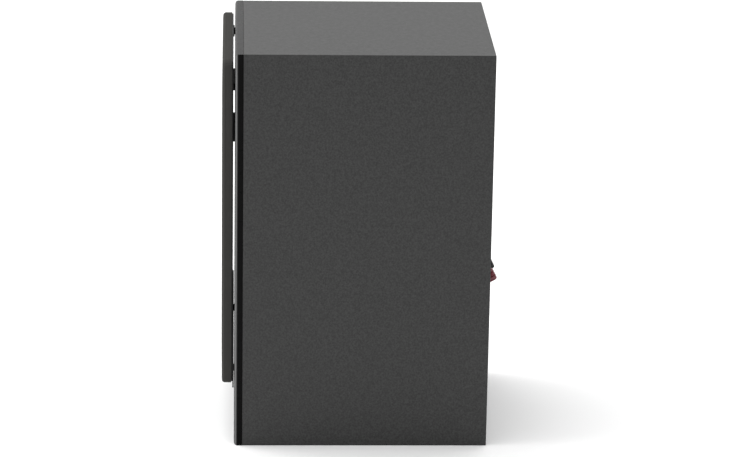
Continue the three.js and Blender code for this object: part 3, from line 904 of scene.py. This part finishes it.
# ------------------------------------------------------------------ grille
def grille_cloth_sheet():
    low, high = side("grille_cloth", LOW), side("grille_cloth", HIGH)
    front, back = low.y, high.y - 0.6
    radius, corner = 2.5, 6
    crown = 0.5  # the stretched front stands this much prouder in its middle than at its edges

    def loops(inset, thickness):
        """(inset, depth) of each loop, from the hem round the front edge and in to the middle."""
        hem = [(inset, y) for y in (back, back - 1.5, back - 3.5, front + radius + 0.4)]
        bend_r = radius - thickness
        bend = arc(inset + bend_r, front + crown + radius, bend_r, bend_r, 180, 270, 7)
        face = [(d, None) for d in (4, 7, 12, 20, 32, 48, 62, 72)]
        return hem + bend + face

    def crowned(x, z):
        """Depth of the cloth's front at a spot."""
        across = min(1, (high.x - abs(x)) / high.x)
        height = min(1, min(z - low.z, high.z - z) / high.x)
        return front + crown * (1 - min(1, 3 * min(across, height)) ** 0.8)

    bm = bmesh.new()
    skins = []
    for inset, thickness in ((0, 0), (0.6, 0.6)):
        rings = []
        for d, y in loops(inset, thickness):
            r = max(corner - d, 1.2)
            points = rounded_rectangle(low.x + d, high.x - d, low.z + d, high.z - d, r, 6, 18)
            ring = []
            for x, z in points:
                depth = crowned(x, z) + thickness if y is None else y
                ring.append(bm.verts.new(Vector((x, depth, z)) * MM))
            rings.append(ring)
        skins.append(rings)
    outside, inside = skins
    strips = [pair for rings in skins for pair in zip(rings, rings[1:])] + [(outside[0], inside[0])]
    for here, after in strips:
        for i in range(len(here)):
            j = (i + 1) % len(here)
            bm.faces.new((here[i], here[j], after[j], after[i]))
    for rings in skins:
        bm.faces.new(rings[-1])
    bmesh.ops.recalc_face_normals(bm, faces=bm.faces)
    cloth = piece(bm, "grille_cloth_sheet", "grille_cloth", "grille", ["grille_cloth"], angle=60)


def grille_frame():
    cloth_low, cloth_high = side("grille_cloth", LOW), side("grille_cloth", HIGH)
    low, high = side("grille_frame", LOW), side("grille_frame", HIGH)
    back = cloth_high.y + 0.5
    touch = FRONT - 0.3
    margin = cloth_high.x - high.x
    box = (low.x, high.x, cloth_low.z + margin, cloth_high.z - margin)
    bar = slab(rounded_rectangle(*box, 5), low.y + 0.2, back)
    woofer_window = rod(71, -20, 5, (0, FRONT, WOOFER_Z), steps=128)
    treble_window = slab(rounded_rectangle(-64, 64, 218, 315, 14, 10), FRONT - 20, FRONT + 5)
    foot = slab(rounded_rectangle(low.x, high.x, low.z, 97, 1.5, 4), back - 0.2, touch)
    whole = cut(join(bar, foot), woofer_window, treble_window)
    peg = [
        (0, back - 1), (4.95, back - 1), (4.95, touch), (3, touch),
        (3, FRONT + 5), (2, FRONT + 6.1), (0, FRONT + 6.2),
    ]
    moulding = join(whole, *[revolve(peg, (x, 0, z), steps=40) for x, z in PEGS])
    stands_for = ["grille_frame"]
    piece(moulding, "grille_frame_moulding", "black_plastic", "grille", stands_for, bevel=0.25, segments=2)


# ------------------------------------------------------------------ rear
def port():
    outline = [
        *arc(PORT_R + 12, -12, -12, 13.8, 0, 90, 16), *arc(34.2, 1.1, 0.8, 0.7, 90, 0, 4),
        (35, 0), (30, 0), (30, -2), (22.5, -14), (22.5, -105), (PORT_R, -105),
    ]
    tube = revolve(outline, (0, REAR, PORT_Z), steps=128)
    piece(tube, "port_tube_moulding", "black_plastic", "cabinet", ["port_tube"])


def rear_cup():
    low, high = side("terminal_cup", LOW), side("terminal_cup", HIGH)
    axis = JOINTS["red_knob_turn"]["axis"]
    lean = axis[2] / axis[1]
    foot = post_foot("red")
    start = foot.z - (REAR - foot.y) / lean
    bottom, top = low.z + CUP_FLANGE, high.z - CUP_FLANGE

    def slant(z, inset):
        """Depth of the slanted plate at a height, inset from its face."""
        return foot.y - (z - foot.z) * lean - inset * math.hypot(1, lean)

    def wedge(outline, half_width):
        return prism(outline, -half_width, half_width, lambda y, z, x: (x, y, z))

    flange = slab(rounded_rectangle(low.x, high.x, low.z, high.z, 6), REAR, high.y)
    flange = round_edges(flange, lambda p: p.y > high.y - 0.1, 0.8, 4)
    housing = [
        (REAR + 0.5, bottom), (slant(bottom, CUP_WALL), bottom),
        (slant(top, CUP_WALL), top), (REAR + 0.5, top),
    ]
    roof = top - CUP_WALL
    hollow = [(REAR + 9, start), (REAR, start), (slant(roof, 0), roof), (REAR + 9, roof)]
    corners = [(x, z) for x in (low.x + 4.3, high.x - 4.3) for z in (low.z + 4.3, high.z - 4.3)]
    countersink = [(0, -9), (1.6, -9), (1.6, 1.1), (2.8, 2.2), (2.8, 9), (0, 9)]
    bores = [revolve(countersink, (x, REAR, z), steps=32) for x, z in corners]
    posts = [rod(2.9, -9, 9, post_foot(colour), axis, 32) for colour in ("red", "black")]
    bm = cut(join(flange, wedge(housing, 40.5)), wedge(hollow, 38), *bores, *posts)
    piece(bm, "terminal_cup_moulding", "black_plastic", "cabinet", ["terminal_cup"], bevel=0.5)
    for i, (x, z) in enumerate(corners, 1):
        screw(f"cup_fixing_{i}", (x, REAR + 1.2, z), (0, 1, 0), 2.7, 1.0, 4)


def post_foot(colour):
    """Where a post's axis meets the cup's slanted plate; the record's joint point lies 15 mm out from it."""
    joint = JOINTS[f"{colour}_knob_turn"]
    return Vector(joint["pos_m"]) / MM - 15 * Vector(joint["axis"])


def binding_post(colour, plastic):
    axis, foot = Vector(JOINTS[f"{colour}_knob_turn"]["axis"]), post_foot(colour)
    end = POST_END
    pitch = 0.7
    thread = [
        (r, 2.6 + (i + k) * pitch)
        for i in range(int((end - 7) / pitch))
        for k, r in ((0.0, 2.15), (0.5, POST_R))
    ]
    stud = [
        (0, -10), (2.3, -10), (POST_R, -9.7), (POST_R, 0.3), (6.1, 0.3), (6.5, 0.7), (6.5, 1.9), (6.1, 2.3),
        (POST_R, 2.3), *thread, (2.1, end - 4.2), (0, end - 4),
    ]
    piece(revolve(stud, foot, axis, 64), f"{colour}_stud", "gold_plate", "cabinet", [f"{colour}_post_stud"])
    washer = revolve([(2.9, 2.6), (5.9, 2.6), (6.2, 2.9), (6.2, 3.7), (5.9, 4), (2.9, 4)], foot, axis, 64)
    piece(washer, f"{colour}_clamp_washer", "gold_plate", f"{colour}_clamp", [f"{colour}_post_clamp"])

    def flutes(r, t, angle):
        """Finger grips along the middle of the knob."""
        if r < 4 or not 8.5 < t < end - 0.5:
            return r
        return r - 0.75 * max(0.0, math.cos(10 * angle)) ** 3

    grip = [
        (0, end - 2.6), (2.9, end - 2.6), (2.9, 4.3), (5.9, 4.3), (6.2, 4.6), (6.2, 6.8), (5.9, 7.2),
        (5.5, 7.6), (5.6, 8.4), (5.6, 8.6), (5.6, 14), (5.6, 20), (5.6, end - 2.6), (5.4, end - 1.6),
        (4.9, end - 0.6), (4.5, end - 0.15), (4.1, end), (0, end - 0.3),
    ]
    knob = revolve(grip, foot, axis, 160, flutes)
    piece(knob, f"{colour}_knob_grip", plastic, f"{colour}_knob", [f"{colour}_post_knob"])


def wadding_pad():
    low, high = side("damping_pad", LOW), side("damping_pad", HIGH)
    bm = block(low + Vector((1, 1, 1)), high - Vector((1, 1, 1)))
    bmesh.ops.subdivide_edges(bm, edges=bm.edges, cuts=7, use_grid_fill=True)
    centre, half = (low + high) / 2, (high - low) / 2
    for v in bm.verts:
        p = v.co / MM - centre
        edge = max(abs(p.y) / half.y, abs(p.z) / half.z)
        wave = 0.5 * math.sin(0.11 * p.y) * math.cos(0.07 * p.z)
        v.co.x = (centre.x + p.x * (1 - 0.35 * edge**4) + wave) * MM
    pad = piece(bm, "damping_pad_wadding", "wadding", "cabinet", ["damping_pad"], angle=80)


studio()
paint_cad_nodes()
cabinet_wrap()
back_panel()
front_baffle()
woofer()
treble_plate()
dome_driver("tweeter", TWEETER_Z)
dome_driver("super_tweeter", SUPER_Z)
grille_frame()
grille_cloth_sheet()
port()
rear_cup()
binding_post("red", "red_plastic")
binding_post("black", "black_plastic")
wadding_pad()
